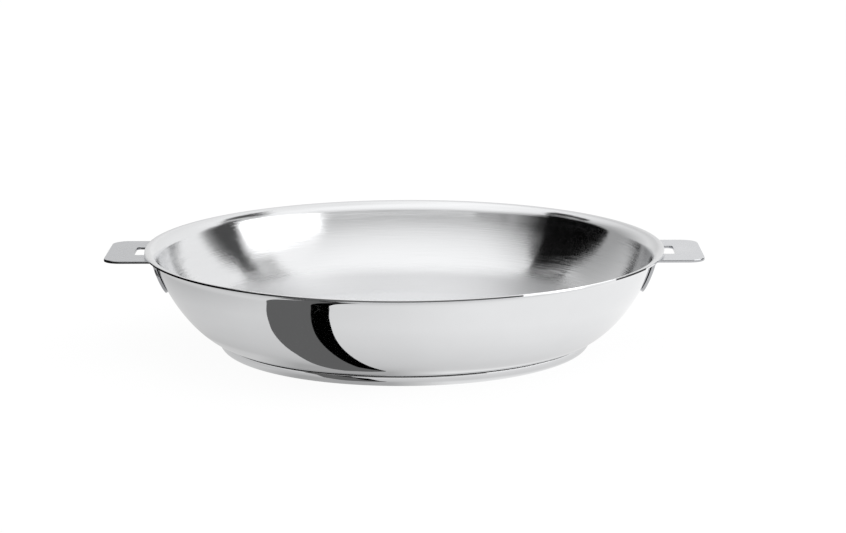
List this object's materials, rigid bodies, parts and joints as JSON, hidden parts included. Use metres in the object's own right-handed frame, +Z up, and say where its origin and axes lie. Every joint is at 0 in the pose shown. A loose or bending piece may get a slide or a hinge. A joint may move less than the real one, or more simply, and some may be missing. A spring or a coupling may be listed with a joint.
{
  "type": "frying pan",
  "caption": "Low round steel frying pan with a curved wall, a flared pouring lip, a closed heat-spreading base, and flat windowed side tabs for a clip-on handle.",
  "frame": {"origin": "centre of the base's flat underside", "axes": "+Z up out of the pan, +X from the left tab to the right tab, +Y away from the picture's camera"},
  "size_m": [0.3254, 0.284, 0.0545],
  "materials": {
    "body_steel": "mirror-polished outside, satin brushed round the inside",
    "cap_steel": "polished side, satin underside",
    "tab_steel": "fine satin",
    "weld_steel": "dull fused steel",
    "disc_aluminium": "rolled",
    "braze": "brazing filler metal"
  },
  "bodies": {
    "root": {"pan_body": "body_steel", "upper_braze_layer": "braze", "heat_spreader_disc": "disc_aluminium", "lower_braze_layer": "braze", "base_cap": "cap_steel", "right_handle_tab": "tab_steel", "right_weld_front": "weld_steel", "right_weld_lower": "weld_steel", "right_weld_back": "weld_steel", "left_handle_tab": "tab_steel", "left_weld_front": "weld_steel", "left_weld_lower": "weld_steel", "left_weld_back": "weld_steel"}
  },
  "joints": []
}
